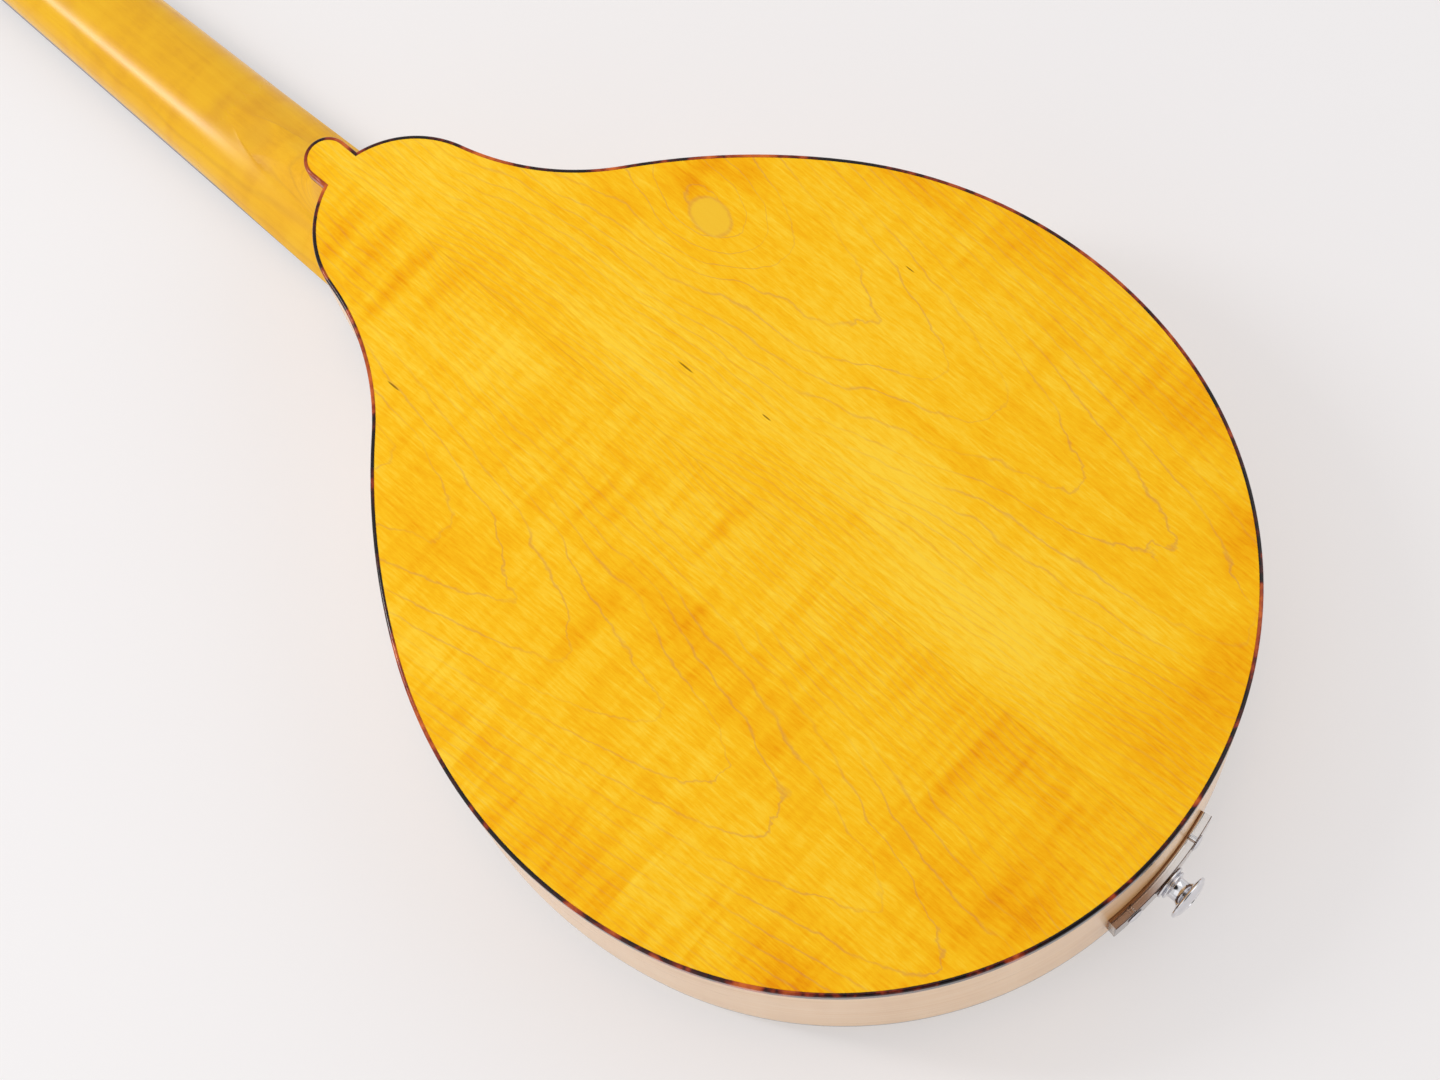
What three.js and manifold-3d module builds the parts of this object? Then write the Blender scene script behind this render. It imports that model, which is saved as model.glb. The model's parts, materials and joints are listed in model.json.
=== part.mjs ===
// A flat-backed oud with eleven strings, lying face down: it rests on its bridge and its nut.
// Millimetres. +Z is up and out of the back, +Y runs from the tail to the neck, +X is the bass side.
// While it is built, y = 0 is the tail end of the body and z = 0 is the surface that it rests on.
import * as THREE from 'three';
import { mergeVertices } from 'three/addons/utils/BufferGeometryUtils.js';
import Module from 'manifold-3d';

const wasm = await Module();
wasm.setup();

// ---------------------------------------------------------------- driving dimensions

// Half of the body's outline, from the tail to the neck, as arcs that run into each other:
// [radius, turn in degrees]. A negative radius curves the other way. The last arc ends on the centre line.
const OUTLINE_ARCS = [[174, 74.5], [205, 47.5], [311, 18], [-115, 36.3], [46.6, 90]];
const ARC_STEP = 6;
const BODY_DEPTH = 85;
const TAB_RADIUS = 10.5;
const TAB_CENTRE_Y = 466.5;

const BRIDGE_HEIGHT = 8;
const PLATE_THICKNESS = 3;
const SOUNDBOARD_THICKNESS = 2;
const BINDING_WIDTH = 1.7;
const BACK_BINDING_HEIGHT = 6;
const FRONT_BINDING_HEIGHT = 3;
const SIDE_THICKNESS = 2.4;
const LINING_WIDTH = 6;
const LINING_HEIGHT = 12;
const GAP = 0.1;

const BRIDGE_Y = 90;
const NUT_Y = 706;
const NUT_LENGTH = 6;
const FINGERBOARD_THICKNESS = 4;
const FINGERBOARD_START_Y = 428;
const NECK_WIDTH_AT_BODY = 57;
const NECK_WIDTH_AT_NUT = 46;
const NECK_HEIGHT_AT_BODY = 24;
const NECK_HEIGHT_AT_NUT = 20;
const HEEL_FOOT_WIDTH = 30;
const HEEL_COVE = 66;

const PEGBOX_ANGLE = THREE.MathUtils.degToRad(50);
const PEGBOX_LENGTH = 185;
const PEGBOX_END_WIDTH = 22;
const PEGBOX_DEPTH = 21;
const PEGBOX_END_DEPTH = 16;
const CHEEK_THICKNESS = 4.5;
const PEGBOX_FLOOR_THICKNESS = 4;

const PEG_COUNT = 11;
const PEG_SIDES = 10;
const FIRST_PEG = 22;
const PEG_SPACING = 14;
const PEG_THICK_RADIUS = 3.7;
const PEG_THIN_RADIUS = 3.2;
const PEG_CLEARANCE = 0.06;

const COURSE_SPACING = 6.35;
const PAIR_HALF_GAP = 1.35;
const STRING_SPREAD_AT_BRIDGE = 2.3;
const STRING_SPREAD_AT_PEGS = 0.72;
const STRING_Z = 2.6;

const TAIL_SHIM_THICKNESS = 1;
const TAIL_PLATE_THICKNESS = 4;
const TAIL_PLATE_LENGTH = 61;
const TAIL_PLATE_HEIGHT = 18;
const STRAP_BUTTON_LENGTH = 13;
const BUTTON_BELOW_BACK = 60;
const TAIL_SCREW_ANGLE = THREE.MathUtils.degToRad(6.5);

// ---------------------------------------------------------------- levels worked out from them

const FRONT_Z = BRIDGE_HEIGHT;
const BACK_Z = FRONT_Z + BODY_DEPTH;
const PLATE_Z = BACK_Z - PLATE_THICKNESS;
const BACK_BINDING_Z = BACK_Z - BACK_BINDING_HEIGHT;
const FRONT_BINDING_TOP_Z = FRONT_Z + FRONT_BINDING_HEIGHT;
const BOARD_TOP_Z = FRONT_Z + SOUNDBOARD_THICKNESS;
const BUTTON_Z = BACK_Z - BUTTON_BELOW_BACK;
const TAIL_RADIUS = OUTLINE_ARCS[0][0];
const NECK_END_Y = NUT_Y + NUT_LENGTH + 1;

// ---------------------------------------------------------------- materials

const material = (color, roughness, metalness = 0) =>
  new THREE.MeshStandardMaterial({ color, roughness, metalness });
const AMBER_MAPLE = material(0xf8bd24, 0.3);
const PALE_MAPLE = material(0xdcb894, 0.4);
const TORTOISESHELL = material(0x3a1410, 0.15);
const SPRUCE = material(0xe3c793, 0.5);
const PLAIN_WOOD = material(0xc9a878, 0.7);
const DARK_WOOD = material(0x4a2c1a, 0.45);
const EBONY = material(0x1f1714, 0.4);
const BONE = material(0xece3cf, 0.4);
const CHROME = material(0xd9d9dc, 0.08, 1);
const CLEAR_PLASTIC = material(0xe9e6e0, 0.05);
const NYLON = material(0xe8e2d0, 0.3);
const WOUND_STRING = material(0xb9b4aa, 0.35, 0.8);

const oud = new THREE.Group();

function add(name, geometry, look) {
  const mesh = new THREE.Mesh(geometry, look);
  mesh.name = name;
  oud.add(mesh);
  return mesh;
}

// ---------------------------------------------------------------- joining and cutting

function toSolid(geometry) {
  const bare = geometry.clone();
  bare.deleteAttribute('normal');
  bare.deleteAttribute('uv');
  const merged = mergeVertices(bare, 1e-4);
  return new wasm.Manifold(new wasm.Mesh({
    numProp: 3,
    vertProperties: new Float32Array(merged.attributes.position.array),
    triVerts: new Uint32Array(merged.index.array),
  }));
}

function toGeometry(solid) {
  const { vertProperties, triVerts } = solid.getMesh();
  const geometry = new THREE.BufferGeometry();
  geometry.setAttribute('position', new THREE.BufferAttribute(vertProperties, 3));
  geometry.setIndex(new THREE.BufferAttribute(triVerts, 1));
  geometry.computeVertexNormals();
  return geometry;
}

const cut = (geometry, ...tools) =>
  toGeometry(tools.reduce((solid, tool) => solid.subtract(toSolid(tool)), toSolid(geometry)));
const keep = (geometry, ...tools) =>
  toGeometry(tools.reduce((solid, tool) => solid.intersect(toSolid(tool)), toSolid(geometry)));

// A straight block between two opposite corners.
function block(x0, x1, y0, y1, z0, z1) {
  const geometry = new THREE.BoxGeometry(x1 - x0, y1 - y0, z1 - z0);
  return geometry.translate((x0 + x1) / 2, (y0 + y1) / 2, (z0 + z1) / 2);
}

// A flat shape given thickness from one level to another.
function slab(shape, z0, z1) {
  const geometry = new THREE.ExtrudeGeometry(shape, { depth: z1 - z0, bevelEnabled: false });
  return geometry.translate(0, 0, z0);
}

// A turned form: points are [radius, distance along the axis]; the axis becomes +Y.
const turned = (points, sides) =>
  new THREE.LatheGeometry(points.map(([radius, along]) => new THREE.Vector2(radius, along)), sides);

// ---------------------------------------------------------------- the body's outline

// The bass half of the outline, moved inwards by inset, from the tail to where x falls to stopX.
function bassEdge(inset, stopX = 0) {
  const points = [];
  let x = 0;
  let y = 0;
  let heading = 0;
  OUTLINE_ARCS.forEach(([radius, turn], index) => {
    const centreX = x - radius * Math.sin(heading);
    const centreY = y + radius * Math.cos(heading);
    const isLast = index === OUTLINE_ARCS.length - 1;
    const end = isLast
      ? Math.PI - Math.asin((stopX - centreX) / (radius - inset))
      : heading + Math.sign(radius) * THREE.MathUtils.degToRad(turn);
    const steps = Math.ceil(Math.abs(THREE.MathUtils.radToDeg(end - heading)) / ARC_STEP);
    for (let i = 0; i < steps + (isLast ? 1 : 0); i += 1) {
      const angle = heading + (end - heading) * (i / steps);
      const reach = radius - inset;
      points.push(new THREE.Vector2(centreX + reach * Math.sin(angle), centreY - reach * Math.cos(angle)));
    }
    x = centreX + radius * Math.sin(end);
    y = centreY - radius * Math.cos(end);
    heading = end;
  });
  return points;
}

// Both halves of an outline whose bass half starts and ends on the centre line.
function mirrored(bassHalf) {
  const trebleHalf = bassHalf.slice(1, -1).map((p) => new THREE.Vector2(-p.x, p.y)).reverse();
  return [...bassHalf, ...trebleHalf];
}

const bodyOutline = (inset) => mirrored(bassEdge(inset));

// The back has a round-ended tab that covers the neck's heel.
function backOutline(inset) {
  const radius = TAB_RADIUS - inset;
  const tabSteps = 6;
  const edge = bassEdge(inset, radius);
  for (let i = 0; i <= tabSteps; i += 1) {
    const angle = (i / tabSteps) * (Math.PI / 2);
    edge.push(new THREE.Vector2(radius * Math.cos(angle), TAB_CENTRE_Y + radius * Math.sin(angle)));
  }
  return mirrored(edge);
}

function ringShape(outer, inner) {
  const shape = new THREE.Shape(outer);
  shape.holes.push(new THREE.Path(inner));
  return shape;
}

// A strip that follows one half of the outline, between two insets, for the points that wanted() keeps.
function bandShape(outerInset, innerInset, isBass, wanted) {
  const sign = isBass ? 1 : -1;
  const outer = bassEdge(outerInset).filter(wanted);
  const inner = bassEdge(innerInset).filter(wanted);
  return new THREE.Shape([...outer, ...inner.reverse()].map((p) => new THREE.Vector2(sign * p.x, p.y)));
}

// ---------------------------------------------------------------- the body

const TAIL_BLOCK = { halfWidth: 45, endY: 24 };
const NECK_BLOCK_Y = 404;
const BLOCK_INSET = SIDE_THICKNESS + GAP;
const BRACE_INSET = SIDE_THICKNESS + LINING_WIDTH + 1;

// Holes for the three screws at the tail, each along a radius of the tail's arc.
function tailScrewHole(angle, radius) {
  const hole = new THREE.CylinderGeometry(radius, radius, 60, 12);
  return hole
    .translate(0, -TAIL_RADIUS, 0)
    .rotateZ(angle)
    .translate(0, TAIL_RADIUS, BUTTON_Z);
}

const TAIL_SCREW_RADIUS = 1.5;
const STRAP_SCREW_RADIUS = 2;
const tailHoles = () => [
  tailScrewHole(0, STRAP_SCREW_RADIUS + GAP),
  tailScrewHole(TAIL_SCREW_ANGLE, TAIL_SCREW_RADIUS + GAP),
  tailScrewHole(-TAIL_SCREW_ANGLE, TAIL_SCREW_RADIUS + GAP),
];

function addShell() {
  const plate = slab(new THREE.Shape(backOutline(BINDING_WIDTH + GAP)), PLATE_Z, BACK_Z);
  add('back_plate', plate, AMBER_MAPLE);
  const backRing = ringShape(backOutline(0), backOutline(BINDING_WIDTH));
  add('back_binding', slab(backRing, BACK_BINDING_Z, BACK_Z), TORTOISESHELL);
  const frontRing = ringShape(bodyOutline(0), bodyOutline(BINDING_WIDTH));
  add('front_binding', slab(frontRing, FRONT_Z, FRONT_BINDING_TOP_Z), EBONY);
  const seams = block(-GAP / 2, GAP / 2, -10, 500, 0, 100);
  for (const isBass of [true, false]) {
    const strip = bandShape(0, SIDE_THICKNESS, isBass, () => true);
    const rib = slab(strip, FRONT_BINDING_TOP_Z, BACK_BINDING_Z);
    add(isBass ? 'side_bass' : 'side_treble', cut(rib, seams, ...tailHoles()), PALE_MAPLE);
  }
}

function addBlocks() {
  const outline = new THREE.Shape(bodyOutline(BLOCK_INSET));
  const inside = () => slab(outline, BOARD_TOP_Z + GAP, PLATE_Z - GAP);
  const { halfWidth, endY } = TAIL_BLOCK;
  const tail = keep(inside(), block(-halfWidth, halfWidth, -10, endY, 0, 100));
  add('tail_block', cut(tail, ...tailHoles()), PLAIN_WOOD);
  add('neck_block', keep(inside(), block(-60, 60, NECK_BLOCK_Y, 480, 0, 100)), PLAIN_WOOD);
}

function addLinings() {
  const between = (p) => p.x > TAIL_BLOCK.halfWidth + 1 && p.y < NECK_BLOCK_Y - 1;
  const levels = {
    front: [BOARD_TOP_Z + GAP, BOARD_TOP_Z + LINING_HEIGHT],
    back: [PLATE_Z - LINING_HEIGHT, PLATE_Z - GAP],
  };
  for (const [face, [low, high]] of Object.entries(levels)) {
    for (const isBass of [true, false]) {
      const strip = bandShape(BLOCK_INSET, SIDE_THICKNESS + LINING_WIDTH, isBass, between);
      add(`${face}_lining_${isBass ? 'bass' : 'treble'}`, slab(strip, low, high), PLAIN_WOOD);
    }
  }
}

function addBraces(name, places, width, low, high) {
  const inside = slab(new THREE.Shape(bodyOutline(BRACE_INSET)), low, high);
  places.forEach((y, index) => {
    const bar = keep(inside, block(-200, 200, y - width / 2, y + width / 2, low - 1, high + 1));
    add(`${name}_${index + 1}`, bar, SPRUCE);
  });
}

// ---------------------------------------------------------------- the front

const MAIN_HOLE = { x: 0, y: 300, radius: 42, petals: 8 };
const SMALL_HOLES = {
  rosette_bass: { x: 60, y: 222, radius: 24, petals: 6 },
  rosette_treble: { x: -60, y: 222, radius: 24, petals: 6 },
};

function circle(x, y, radius, segments = 24) {
  const at = (i) => (i / segments) * Math.PI * 2;
  return Array.from({ length: segments }, (_, i) =>
    new THREE.Vector2(x + radius * Math.cos(at(i)), y + radius * Math.sin(at(i))));
}

// A fretwork disc: a hub hole, then two rings of round piercings.
function rosette({ x, y, radius, petals }) {
  const shape = new THREE.Shape(circle(x, y, radius - GAP));
  shape.holes.push(new THREE.Path(circle(x, y, radius * 0.14, 8)));
  const rings = [[0.4, 0.12, 0], [0.75, 0.17, 0.5]];
  for (const [at, size, shift] of rings) {
    for (let i = 0; i < petals; i += 1) {
      const angle = ((i + shift) / petals) * Math.PI * 2;
      const holeX = x + radius * at * Math.cos(angle);
      const holeY = y + radius * at * Math.sin(angle);
      shape.holes.push(new THREE.Path(circle(holeX, holeY, radius * size, 8)));
    }
  }
  return slab(shape, FRONT_Z + 0.3, BOARD_TOP_Z - 0.2);
}

function addSoundboard() {
  const shape = new THREE.Shape(bodyOutline(BINDING_WIDTH + GAP));
  for (const { x, y, radius } of [MAIN_HOLE, ...Object.values(SMALL_HOLES)]) {
    shape.holes.push(new THREE.Path(circle(x, y, radius)));
  }
  add('soundboard', slab(shape, FRONT_Z, BOARD_TOP_Z), SPRUCE);
  add('rosette_main', rosette(MAIN_HOLE), DARK_WOOD);
  for (const [name, hole] of Object.entries(SMALL_HOLES)) {
    add(name, rosette(hole), DARK_WOOD);
  }
}

// A leaf-shaped guard under the plectrum, between the bridge and the main hole.
function addPickguard() {
  const [lowY, highY, halfWidth, thickness] = [122, 244, 29, 0.8];
  const leaf = new THREE.Shape();
  leaf.moveTo(0, lowY);
  const [belly, bellyY, shoulderY] = [halfWidth * 1.5, lowY + 20, highY - 30];
  leaf.bezierCurveTo(belly, bellyY, halfWidth, shoulderY, 0, highY);
  leaf.bezierCurveTo(-halfWidth, shoulderY, -belly, bellyY, 0, lowY);
  const settings = { depth: thickness, bevelEnabled: false, curveSegments: 10 };
  const guard = new THREE.ExtrudeGeometry(leaf, settings).translate(0, 0, FRONT_Z - thickness);
  add('pickguard', guard, DARK_WOOD);
}

// The bridge is a bar with low wings; the strings are tied to its nut side.
function addBridge() {
  const [halfLength, halfBar, width, wingHeight] = [58, 46, 14, 3];
  const front = new THREE.Shape([
    [-halfLength, FRONT_Z], [halfLength, FRONT_Z], [halfLength, FRONT_Z - wingHeight],
    [halfBar + 3, FRONT_Z - wingHeight], [halfBar, 0], [-halfBar, 0],
    [-halfBar - 3, FRONT_Z - wingHeight], [-halfLength, FRONT_Z - wingHeight],
  ].map(([x, z]) => new THREE.Vector2(x, -z)));
  const bar = new THREE.ExtrudeGeometry(front, { depth: width, bevelEnabled: false });
  add('bridge', bar.rotateX(-Math.PI / 2).translate(0, BRIDGE_Y - width / 2, 0), DARK_WOOD);
}

// ---------------------------------------------------------------- the neck

const HEEL_HEIGHT = PLATE_Z - FRONT_Z;
const HEEL_TIP_Y = TAB_CENTRE_Y + TAB_RADIUS;
const alongNeck = (y, atBody, atNut) =>
  THREE.MathUtils.mapLinear(y, TAB_CENTRE_Y, NUT_Y, atBody, atNut);
const neckHalfWidth = (y) => alongNeck(y, NECK_WIDTH_AT_BODY, NECK_WIDTH_AT_NUT) / 2;
const neckDepth = (y) => alongNeck(y, NECK_HEIGHT_AT_BODY, NECK_HEIGHT_AT_NUT);

// The heel's tip falls from the tab to the neck along a quarter of a superellipse, which is its own
// mirror image: how high the heel is at a place, and how far out it is at a height.
const COVE_FULLNESS = 2.6;
const superellipse = (share) => (1 - share ** COVE_FULLNESS) ** (1 / COVE_FULLNESS);

function heelHeight(y) {
  const left = THREE.MathUtils.clamp(1 - (y - HEEL_TIP_Y) / HEEL_COVE, 0, 1);
  return neckDepth(y) + (HEEL_HEIGHT - neckDepth(y)) * (1 - superellipse(left));
}

function heelTip(z) {
  const rise = (z - NECK_HEIGHT_AT_BODY) / (HEEL_HEIGHT - NECK_HEIGHT_AT_BODY);
  return HEEL_TIP_Y + HEEL_COVE * (1 - superellipse(1 - THREE.MathUtils.clamp(rise, 0, 1)));
}

// Half the width at a place along the neck and a height over the fingerboard's joint. A level slice
// of the heel is a tongue with an elliptical end, as wide as the tab at the top and wider at its foot.
// The neck's own section is a little fuller than a half ellipse, and the two run softly together.
function neckReach(y, z) {
  const flare = (1 + Math.cos((Math.PI * z) / HEEL_HEIGHT)) / 2;
  const tongue = THREE.MathUtils.lerp(TAB_RADIUS, HEEL_FOOT_WIDTH / 2, flare);
  const outwards = Math.max(0, y - TAB_CENTRE_Y) / (heelTip(z) - TAB_CENTRE_Y);
  const heel = tongue * Math.sqrt(Math.max(0, 1 - outwards ** 2));
  const fullness = 2.3;
  const round = Math.max(0, 1 - (z / neckDepth(y)) ** fullness) ** (1 / fullness);
  const softness = 4;
  return (heel ** softness + (round * neckHalfWidth(y)) ** softness) ** (1 / softness);
}

// The places along the neck where a section is needed: close together round the heel's curve.
function neckStations() {
  const overTab = [426, TAB_CENTRE_Y, 470, 473, 475, 476.2];
  const coveSteps = 9;
  const cove = Array.from({ length: coveSteps + 1 }, (_, i) =>
    HEEL_TIP_Y + HEEL_COVE * (1 - Math.cos(((i / coveSteps) * Math.PI) / 2)));
  return [...overTab, ...cove, 600, NECK_END_Y];
}

// A half round section is drawn out through the stations, and its points move to the neck's surface.
function neckBlank() {
  const nothing = 1e-6;
  const section = new THREE.Shape(circle(0, 0, 1, 24).filter((p) => p.y > -nothing));
  const stations = neckStations();
  const steps = stations.length - 1;
  const geometry = new THREE.ExtrudeGeometry(section, { depth: 1, steps, bevelEnabled: false });
  const position = geometry.attributes.position;
  for (let i = 0; i < position.count; i += 1) {
    const y = stations[Math.round(position.getZ(i) * steps)];
    const across = position.getX(i);
    const up = THREE.MathUtils.clamp(position.getY(i), 0, 1);
    const z = up * heelHeight(y);
    const side = Math.abs(across) < nothing ? 0 : Math.sign(across);
    position.setXYZ(i, -side * neckReach(y, z), y, FRONT_Z + z);
  }
  return geometry;
}

// The space past the plane where the neck and the pegbox meet, from a small clearance onwards.
const pastMitre = (clearance) =>
  block(-100, 100, clearance, 400, -200, 200).rotateX(PEGBOX_ANGLE / 2).translate(0, NECK_END_Y, FRONT_Z);

function addNeck() {
  const bodySpace = slab(new THREE.Shape(bodyOutline(-GAP)), 0, 100);
  const bindingSpace = slab(
    ringShape(backOutline(-GAP), backOutline(BINDING_WIDTH + GAP)),
    BACK_BINDING_Z - GAP,
    BACK_Z + 10,
  );
  const overTab = block(-60, 60, 400, 500, PLATE_Z - GAP, 200);
  add('neck', cut(neckBlank(), bodySpace, overTab, bindingSpace, pastMitre(0)), AMBER_MAPLE);
}

function addFingerboard() {
  const [start, end] = [FINGERBOARD_START_Y, NUT_Y - GAP];
  const corners = [[1, start], [1, end], [-1, end], [-1, start]];
  const outline = corners.map(([side, y]) => new THREE.Vector2(side * neckHalfWidth(y), y));
  add('fingerboard', slab(new THREE.Shape(outline), FRONT_Z - FINGERBOARD_THICKNESS, FRONT_Z), EBONY);
}

// ---------------------------------------------------------------- the strings' places

// Across the nut, from the bass side: one single string, then five pairs.
function stringPlaces() {
  const middle = 2.6 * COURSE_SPACING;
  const places = [middle];
  for (let course = 1; course <= 5; course += 1) {
    const centre = middle - course * COURSE_SPACING;
    places.push(centre + PAIR_HALF_GAP, centre - PAIR_HALF_GAP);
  }
  return places;
}

const STRING_X = stringPlaces();
const STRING_RADII = [0.6, 0.5, 0.5, 0.45, 0.45, 0.4, 0.4, 0.4, 0.4, 0.35, 0.35];

// The outer strings go to the near pegs and the inner ones to the far pegs, so none crosses another.
const PEG_OF_STRING = [0, 2, 4, 6, 8, 10, 9, 7, 5, 3, 1];

function addNut() {
  const halfWidth = NECK_WIDTH_AT_NUT / 2;
  const blank = block(-halfWidth, halfWidth, NUT_Y, NUT_Y + NUT_LENGTH, 0, FRONT_Z);
  const slots = STRING_X.map((x, i) => {
    const half = STRING_RADII[i] + 0.3;
    return block(x - half, x + half, NUT_Y - 1, NUT_Y + NUT_LENGTH + 1, -1, STRING_Z + half);
  });
  add('nut', cut(blank, ...slots), BONE);
}

// ---------------------------------------------------------------- the pegbox

// Its own frame starts at the mitre's front edge: y runs along it, z from the open side to the floor.
const pegboxToBody = new THREE.Matrix4()
  .makeTranslation(0, NECK_END_Y, FRONT_Z)
  .multiply(new THREE.Matrix4().makeRotationX(PEGBOX_ANGLE));
const pegboxShare = (y) => y / PEGBOX_LENGTH;
const pegboxHalfWidth = (y) =>
  THREE.MathUtils.lerp(NECK_WIDTH_AT_NUT, PEGBOX_END_WIDTH, pegboxShare(y)) / 2;
const pegboxDepth = (y) => THREE.MathUtils.lerp(PEGBOX_DEPTH, PEGBOX_END_DEPTH, pegboxShare(y));
const pegY = (index) => FIRST_PEG + index * PEG_SPACING;
const pegZ = (index) => pegboxDepth(pegY(index)) * 0.45;
const PEGBOX_START = -30;

// A straight-sided piece of the pegbox: a block whose corners slide with the pegbox's taper.
function tapered(xAt, zAt, start, end) {
  const geometry = new THREE.BoxGeometry(1, 1, 1);
  const position = geometry.attributes.position;
  for (let i = 0; i < position.count; i += 1) {
    const y = position.getY(i) < 0 ? start : end;
    const x = xAt(y)[position.getX(i) < 0 ? 0 : 1];
    const z = zAt(y)[position.getZ(i) < 0 ? 0 : 1];
    position.setXYZ(i, x, y, z);
  }
  return geometry;
}

// A peg hole is as wide as the peg's corners need when it turns.
function pegHole(index, radius, fromX, toX) {
  const wide = (radius + PEG_CLEARANCE) / Math.cos(Math.PI / PEG_SIDES);
  const hole = new THREE.CylinderGeometry(wide, wide, toX - fromX, PEG_SIDES);
  return hole.rotateZ(Math.PI / 2).translate((fromX + toX) / 2, pegY(index), pegZ(index));
}

const headSide = (index) => (index % 2 === 0 ? 1 : -1);

function cheek(side) {
  const inner = (y) => pegboxHalfWidth(y) - CHEEK_THICKNESS;
  const xAt = (y) => (side > 0 ? [inner(y), pegboxHalfWidth(y)] : [-pegboxHalfWidth(y), -inner(y)]);
  const zAt = (y) => [0, pegboxDepth(y) - PEGBOX_FLOOR_THICKNESS - GAP];
  const holes = Array.from({ length: PEG_COUNT }, (_, index) => {
    const radius = headSide(index) === side ? PEG_THICK_RADIUS : PEG_THIN_RADIUS;
    return side > 0 ? pegHole(index, radius, 1, 40) : pegHole(index, radius, -40, -1);
  });
  return cut(tapered(xAt, zAt, PEGBOX_START, PEGBOX_LENGTH), ...holes);
}

function addPegbox() {
  const floor = tapered(
    (y) => [-pegboxHalfWidth(y), pegboxHalfWidth(y)],
    (y) => [pegboxDepth(y) - PEGBOX_FLOOR_THICKNESS, pegboxDepth(y)],
    PEGBOX_START,
    PEGBOX_LENGTH,
  );
  const pieces = { pegbox_cheek_bass: cheek(1), pegbox_cheek_treble: cheek(-1), pegbox_floor: floor };
  for (const [name, geometry] of Object.entries(pieces)) {
    const placed = geometry.applyMatrix4(pegboxToBody);
    add(name, keep(placed, pastMitre(GAP)), DARK_WOOD);
  }
  const [start, end] = [PEGBOX_LENGTH + 0.3, PEGBOX_LENGTH + 6];
  const overhang = 2;
  const cap = tapered(
    () => [-PEGBOX_END_WIDTH / 2 - overhang, PEGBOX_END_WIDTH / 2 + overhang],
    () => [-overhang, PEGBOX_END_DEPTH + overhang],
    start,
    end,
  );
  add('pegbox_end_cap', cap.applyMatrix4(pegboxToBody), DARK_WOOD);
}

// ---------------------------------------------------------------- the pegs

const PEG_HEAD_START = 9;
const PEG_HEAD_LENGTH = 24;
const PEG_HEAD_RADIUS = 11;
const PEG_HEAD_FLATNESS = 0.3;

// One peg, its axis along +X with its head at the far end. The shaft runs through both cheeks,
// and a collar stands clear of the near one. The head is an egg shape pressed flat.
function peg(index) {
  const half = pegboxHalfWidth(pegY(index));
  const inner = half - CHEEK_THICKNESS - 1;
  const headStart = half + PEG_HEAD_START;
  const head = [0.12, 0.35, 0.6, 0.85].map((share) =>
    [PEG_HEAD_RADIUS * Math.sin(Math.PI * share ** 0.8), headStart + PEG_HEAD_LENGTH * share]);
  const profile = [
    [0, -half - 1.5], [PEG_THIN_RADIUS, -half - 1.5], [PEG_THIN_RADIUS, -inner], [PEG_THICK_RADIUS, inner],
    [PEG_THICK_RADIUS, half + 2], [5.2, half + 4], [3.4, half + 6.5],
    ...head,
    [0, headStart + PEG_HEAD_LENGTH],
  ];
  const geometry = turned(profile, PEG_SIDES);
  const position = geometry.attributes.position;
  for (let i = 0; i < position.count; i += 1) {
    const flattening = THREE.MathUtils.smoothstep(position.getY(i), headStart - 4, headStart + 8);
    position.setZ(i, position.getZ(i) * THREE.MathUtils.lerp(1, PEG_HEAD_FLATNESS, flattening));
  }
  return geometry.rotateZ(-Math.PI / 2);
}

function addPegs() {
  for (let index = 0; index < PEG_COUNT; index += 1) {
    const geometry = peg(index);
    if (headSide(index) < 0) {
      geometry.rotateZ(Math.PI);
    }
    geometry.translate(0, pegY(index), pegZ(index)).applyMatrix4(pegboxToBody);
    add(`peg_${index + 1}`, geometry, EBONY);
  }
}

// ---------------------------------------------------------------- the strings

// A line through given points, drawn with one step from each point to the next.
class Route extends THREE.Curve {
  constructor(points) {
    super();
    this.points = points;
  }

  getPoint(t) {
    const place = t * (this.points.length - 1);
    const index = Math.min(Math.floor(place), this.points.length - 2);
    return new THREE.Vector3().lerpVectors(this.points[index], this.points[index + 1], place - index);
  }

  getUtoTmapping(u) {
    return u;
  }
}

function stringRoute(index) {
  const x = STRING_X[index];
  const peg = PEG_OF_STRING[index];
  const radius = STRING_RADII[index];
  const overPeg = pegZ(peg) - PEG_THICK_RADIUS - radius - 0.3;
  const nutEnd = NUT_Y + NUT_LENGTH;
  const arrive = new THREE.Vector3(x * STRING_SPREAD_AT_PEGS, pegY(peg), overPeg);
  arrive.applyMatrix4(pegboxToBody);
  return [
    new THREE.Vector3(x * STRING_SPREAD_AT_BRIDGE, BRIDGE_Y + 7.3, STRING_Z),
    new THREE.Vector3(x, NUT_Y, STRING_Z),
    new THREE.Vector3(x, nutEnd - 1.5, STRING_Z),
    new THREE.Vector3(x, nutEnd + 0.5, STRING_Z + 0.6),
    arrive,
  ];
}

function addStrings() {
  STRING_X.forEach((_, index) => {
    const points = stringRoute(index);
    const section = new THREE.Shape(circle(0, 0, STRING_RADII[index], 6));
    const geometry = new THREE.ExtrudeGeometry(section, {
      steps: points.length - 1,
      extrudePath: new Route(points),
      bevelEnabled: false,
    });
    add(`string_${index + 1}`, geometry, index < 5 ? WOUND_STRING : NYLON);
  });
}

// ---------------------------------------------------------------- the tail fittings

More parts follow.
